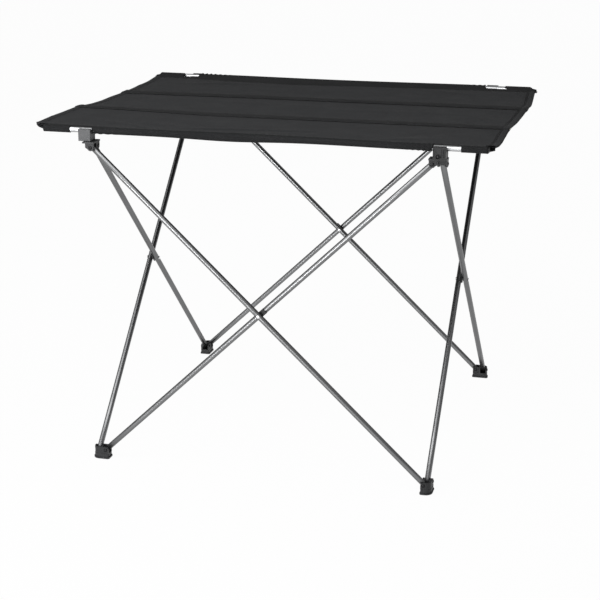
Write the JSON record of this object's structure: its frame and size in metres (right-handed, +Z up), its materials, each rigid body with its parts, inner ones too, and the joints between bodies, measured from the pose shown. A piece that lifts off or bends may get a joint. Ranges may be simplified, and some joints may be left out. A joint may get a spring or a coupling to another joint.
{
  "type": "folding camping table",
  "caption": "Folding camp table with a soft cloth top stretched between rails on a scissor frame of aluminium tube.",
  "frame": {"origin": "on the ground under the middle of the table", "axes": "+X along the rails to the table's right side, +Y to its rear, +Z up"},
  "size_m": [0.678, 0.5426, 0.5188],
  "materials": {
    "leg_tube": "grey anodised, satin",
    "rail_tube": "bright drawn tube",
    "rivet_steel": "zinc plated",
    "foot_plastic": "black moulded nylon",
    "hub_plastic": "black moulded nylon",
    "clip_plastic": "dark grey moulded nylon",
    "spacer_plastic": "black moulded nylon",
    "plug_plastic": "black moulded plastic",
    "top_cloth": "charcoal woven polyester",
    "stiffener_glass_fibre": "pultruded glass fibre strip"
  },
  "bodies": {
    "foot_front_left": {"foot_front_left": "foot_plastic", "foot_inner_rivet_front_left": "rivet_steel", "foot_outer_rivet_front_left": "rivet_steel"},
    "hub_front_left": {"hub_front_left": "hub_plastic", "hub_inner_rivet_front_left": "rivet_steel", "hub_outer_rivet_front_left": "rivet_steel", "rail_clip_front_left": "clip_plastic", "clip_screw_front_left": "rivet_steel"},
    "leg_front_inner": {"leg_front_inner": "leg_tube", "crossing_rivet_front": "rivet_steel", "crossing_spacer_front": "spacer_plastic"},
    "leg_front_outer": {"leg_front_outer": "leg_tube"},
    "foot_front_right": {"foot_front_right": "foot_plastic", "foot_inner_rivet_front_right": "rivet_steel", "foot_outer_rivet_front_right": "rivet_steel"},
    "hub_front_right": {"hub_front_right": "hub_plastic", "hub_inner_rivet_front_right": "rivet_steel", "hub_outer_rivet_front_right": "rivet_steel", "rail_clip_front_right": "clip_plastic", "clip_screw_front_right": "rivet_steel"},
    "leg_right_inner": {"leg_right_inner": "leg_tube", "crossing_rivet_right": "rivet_steel", "crossing_spacer_right": "spacer_plastic"},
    "leg_right_outer": {"leg_right_outer": "leg_tube"},
    "foot_rear_right": {"foot_rear_right": "foot_plastic", "foot_inner_rivet_rear_right": "rivet_steel", "foot_outer_rivet_rear_right": "rivet_steel"},
    "hub_rear_right": {"hub_rear_right": "hub_plastic", "hub_inner_rivet_rear_right": "rivet_steel", "hub_outer_rivet_rear_right": "rivet_steel", "rail_clip_rear_right": "clip_plastic", "clip_screw_rear_right": "rivet_steel"},
    "leg_rear_inner": {"leg_rear_inner": "leg_tube", "crossing_rivet_rear": "rivet_steel", "crossing_spacer_rear": "spacer_plastic"},
    "leg_rear_outer": {"leg_rear_outer": "leg_tube"},
    "foot_rear_left": {"foot_rear_left": "foot_plastic", "foot_inner_rivet_rear_left": "rivet_steel", "foot_outer_rivet_rear_left": "rivet_steel"},
    "hub_rear_left": {"hub_rear_left": "hub_plastic", "hub_inner_rivet_rear_left": "rivet_steel", "hub_outer_rivet_rear_left": "rivet_steel", "rail_clip_rear_left": "clip_plastic", "clip_screw_rear_left": "rivet_steel"},
    "leg_left_inner": {"leg_left_inner": "leg_tube", "crossing_rivet_left": "rivet_steel", "crossing_spacer_left": "spacer_plastic"},
    "leg_left_outer": {"leg_left_outer": "leg_tube"},
    "tabletop": {"tabletop_cloth": "top_cloth", "stiffener_front": "stiffener_glass_fibre", "stiffener_rear": "stiffener_glass_fibre", "rail_front": "rail_tube", "rail_rear": "rail_tube", "rail_plug_front_left": "plug_plastic", "rail_plug_front_right": "plug_plastic", "rail_plug_rear_left": "plug_plastic", "rail_plug_rear_right": "plug_plastic"}
  },
  "joints": [
    {"name": "frame_fold", "type": "hinge", "parent": "foot_front_left", "child": "leg_front_inner", "pos_m": [-0.2496, -0.2523, 0.014], "axis": [0, -1, 0], "range_deg": [0, 44]},
    {"name": "front_crossing", "type": "hinge", "parent": "leg_front_inner", "child": "leg_front_outer", "pos_m": [0, -0.2576, 0.2525], "axis": [0, 1, 0], "range_deg": [0, 88]},
    {"name": "front_right_hub_on_front_leg", "type": "hinge", "parent": "leg_front_inner", "child": "hub_front_right", "pos_m": [0.2496, -0.2523, 0.491], "axis": [0, 1, 0], "range_deg": [0, 44]},
    {"name": "front_left_hub_on_front_leg", "type": "hinge", "parent": "leg_front_outer", "child": "hub_front_left", "pos_m": [-0.2496, -0.2629, 0.491], "axis": [0, -1, 0], "range_deg": [0, 44]},
    {"name": "front_right_foot_on_front_leg", "type": "hinge", "parent": "leg_front_outer", "child": "foot_front_right", "pos_m": [0.2496, -0.2629, 0.014], "axis": [0, -1, 0], "range_deg": [0, 44]},
    {"name": "right_inner_leg_on_front_right_foot", "type": "hinge", "parent": "foot_front_right", "child": "leg_right_inner", "pos_m": [0.2523, -0.2496, 0.014], "axis": [1, 0, 0], "range_deg": [0, 44]},
    {"name": "right_crossing", "type": "hinge", "parent": "leg_right_inner", "child": "leg_right_outer", "pos_m": [0.2576, 0, 0.2525], "axis": [-1, 0, 0], "range_deg": [0, 88]},
    {"name": "rear_right_hub_on_right_leg", "type": "hinge", "parent": "leg_right_inner", "child": "hub_rear_right", "pos_m": [0.2523, 0.2496, 0.491], "axis": [-1, 0, 0], "range_deg": [0, 44]},
    {"name": "rear_right_foot_on_right_leg", "type": "hinge", "parent": "leg_right_outer", "child": "foot_rear_right", "pos_m": [0.2629, 0.2496, 0.014], "axis": [1, 0, 0], "range_deg": [0, 44]},
    {"name": "left_outer_leg_on_front_left_foot", "type": "hinge", "parent": "foot_front_left", "child": "leg_left_outer", "pos_m": [-0.2629, -0.2496, 0.014], "axis": [1, 0, 0], "range_deg": [0, 44]},
    {"name": "left_crossing", "type": "hinge", "parent": "leg_left_outer", "child": "leg_left_inner", "pos_m": [-0.2576, 0, 0.2525], "axis": [-1, 0, 0], "range_deg": [0, 88]},
    {"name": "rear_left_hub_on_left_leg", "type": "hinge", "parent": "leg_left_outer", "child": "hub_rear_left", "pos_m": [-0.2629, 0.2496, 0.491], "axis": [-1, 0, 0], "range_deg": [0, 44]},
    {"name": "rear_left_foot_on_left_leg", "type": "hinge", "parent": "leg_left_inner", "child": "foot_rear_left", "pos_m": [-0.2523, 0.2496, 0.014], "axis": [1, 0, 0], "range_deg": [0, 44]},
    {"name": "rear_outer_leg_on_rear_left_foot", "type": "hinge", "parent": "foot_rear_left", "child": "leg_rear_outer", "pos_m": [-0.2496, 0.2629, 0.014], "axis": [0, -1, 0], "range_deg": [0, 44]},
    {"name": "rear_crossing", "type": "hinge", "parent": "leg_rear_outer", "child": "leg_rear_inner", "pos_m": [0, 0.2576, 0.2525], "axis": [0, 1, 0], "range_deg": [0, 88]},
    {"name": "tabletop_lift_off", "type": "slide", "parent": "foot_front_left", "child": "tabletop", "axis": [-0.2424, -0.2424, 0.9394], "range_m": [0, 0.761]}
  ],
  "couplings": [
    {"joint": "front_crossing", "follows": "frame_fold", "ratio": 2},
    {"joint": "front_right_hub_on_front_leg", "follows": "frame_fold", "ratio": 1},
    {"joint": "front_left_hub_on_front_leg", "follows": "frame_fold", "ratio": 1},
    {"joint": "front_right_foot_on_front_leg", "follows": "frame_fold", "ratio": 1},
    {"joint": "right_inner_leg_on_front_right_foot", "follows": "frame_fold", "ratio": 1},
    {"joint": "right_crossing", "follows": "frame_fold", "ratio": 2},
    {"joint": "rear_right_hub_on_right_leg", "follows": "frame_fold", "ratio": 1},
    {"joint": "rear_right_foot_on_right_leg", "follows": "frame_fold", "ratio": 1},
    {"joint": "left_outer_leg_on_front_left_foot", "follows": "frame_fold", "ratio": 1},
    {"joint": "left_crossing", "follows": "frame_fold", "ratio": 2},
    {"joint": "rear_left_hub_on_left_leg", "follows": "frame_fold", "ratio": 1},
    {"joint": "rear_left_foot_on_left_leg", "follows": "frame_fold", "ratio": 1},
    {"joint": "rear_outer_leg_on_rear_left_foot", "follows": "frame_fold", "ratio": 1},
    {"joint": "rear_crossing", "follows": "frame_fold", "ratio": 2},
    {"joint": "tabletop_lift_off", "follows": "frame_fold", "m_per_rad": 0.99}
  ]
}
